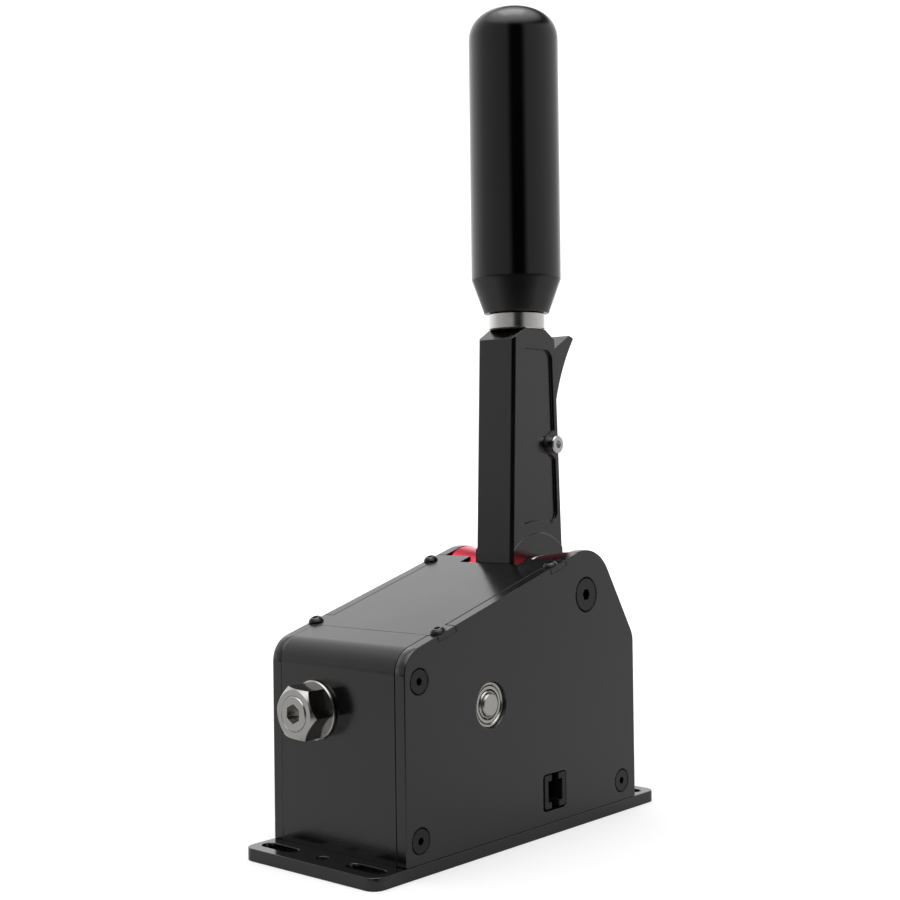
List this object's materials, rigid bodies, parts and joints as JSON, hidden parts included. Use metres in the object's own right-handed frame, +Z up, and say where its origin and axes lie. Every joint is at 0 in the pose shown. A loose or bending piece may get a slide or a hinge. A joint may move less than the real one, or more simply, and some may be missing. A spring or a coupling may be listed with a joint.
{
  "type": "sequential gear shifter",
  "caption": "Upright black sequential shifter: lever with round grip and rear finger catch, pivoted between side plates on a slotted base, with red spacers, throw-stop screw and side socket.",
  "frame": {"origin": "middle of the base plate's underside", "axes": "+Z up along the lever, +X to the rear, away from the stop screw and towards the catch, +Y to the left"},
  "size_m": [0.1604, 0.0644, 0.3126],
  "materials": {
    "black_aluminium": "black anodised, satin",
    "red_aluminium": "red anodised, satin",
    "stainless": "bright machined",
    "spring_steel": "spring steel, oiled",
    "black_oxide": "black oxide, satin",
    "grey_aluminium": "plain machined, satin",
    "black_plastic": "moulded, matt",
    "board_green": "solder mask, gloss",
    "gold": "plated",
    "grip_black": "satin black",
    "bright_collar": "bright turned"
  },
  "bodies": {
    "housing": {"base_plate": "black_aluminium", "left_side_plate": "black_aluminium", "right_side_plate": "black_aluminium", "front_block": "black_aluminium", "rear_wall": "black_aluminium", "top_cover": "black_aluminium", "cover_screws": "black_oxide", "side_plate_screws": "black_oxide", "pivot_screws": "black_oxide", "base_screws": "black_oxide", "pivot_axle": "stainless", "left_spacer": "red_aluminium", "right_spacer": "red_aluminium", "hub_bearing_inner_rings": "stainless", "hub_bearing_balls": "stainless", "shaft_bearing_outer_rings": "stainless", "shaft_bearing_shields": "stainless", "return_spring": "spring_steel", "spring_bracket": "grey_aluminium", "bracket_screws": "black_oxide", "lock_nut": "stainless", "lock_washer": "stainless", "modular_socket": "black_plastic", "socket_contacts": "gold", "circuit_board": "board_green", "controller_chip": "black_plastic", "hall_sensor": "black_plastic", "board_standoffs": "gold", "board_screws": "black_oxide"},
    "lever": {"lever": "black_aluminium", "hub_bearing_outer_rings": "stainless", "collar": "bright_collar", "grip": "grip_black", "grip_stud": "stainless", "magnet": "stainless", "catch_bolt": "stainless", "catch_nut": "stainless", "catch_spring": "spring_steel", "catch_switch": "black_plastic", "lever_link_pin": "stainless", "link_pin_clips_lever": "spring_steel"},
    "catch": {"catch": "black_aluminium"},
    "shaft": {"cross_shaft": "stainless", "shaft_bearing_inner_rings": "stainless", "shaft_bearing_balls": "stainless", "shaft_circlips": "spring_steel", "rocker": "grey_aluminium", "rocker_set_screws": "black_oxide", "spring_finger": "grey_aluminium", "rocker_link_pin": "stainless", "link_pin_clips_rocker": "spring_steel"},
    "link": {"left_link_bar": "grey_aluminium", "right_link_bar": "grey_aluminium"},
    "stop_tip": {"stop_tip": "stainless"},
    "stop_screw": {"stop_screw": "stainless"}
  },
  "joints": [
    {"name": "lever_swing", "type": "hinge", "parent": "housing", "child": "lever", "pos_m": [0.0349, 0, 0.0854], "axis": [0, 1, 0], "range_deg": [-8, 8], "stiffness_Nm_per_rad": 40},
    {"name": "catch_pull", "type": "hinge", "parent": "lever", "child": "catch", "pos_m": [0.0453, 0, 0.14215], "axis": [0, 1, 0], "range_deg": [-7, 0], "stiffness_Nm_per_rad": 1, "springref_deg": 11.46, "deforming": ["catch_spring"]},
    {"name": "shaft_turn", "type": "hinge", "parent": "housing", "child": "shaft", "pos_m": [-0.0217, 0, 0.0516], "axis": [0, 1, 0], "range_deg": [-8, 8], "deforming": ["return_spring"]},
    {"name": "link_swing", "type": "hinge", "parent": "lever", "child": "link", "pos_m": [0.0349, 0, 0.0564], "axis": [0, 1, 0], "range_deg": [-8, 8]},
    {"name": "stop_slide", "type": "slide", "parent": "housing", "child": "stop_tip", "axis": [1, 0, 0], "range_m": [-0.003, 0]},
    {"name": "stop_turn", "type": "hinge", "parent": "stop_tip", "child": "stop_screw", "pos_m": [-0.076, 0.01, 0.0516], "axis": [1, 0, 0], "range_deg": [-720, 0]}
  ],
  "couplings": [
    {"joint": "shaft_turn", "follows": "lever_swing", "ratio": 1},
    {"joint": "link_swing", "follows": "lever_swing", "ratio": -1},
    {"joint": "stop_turn", "follows": "stop_slide", "rad_per_m": 4188.7}
  ]
}
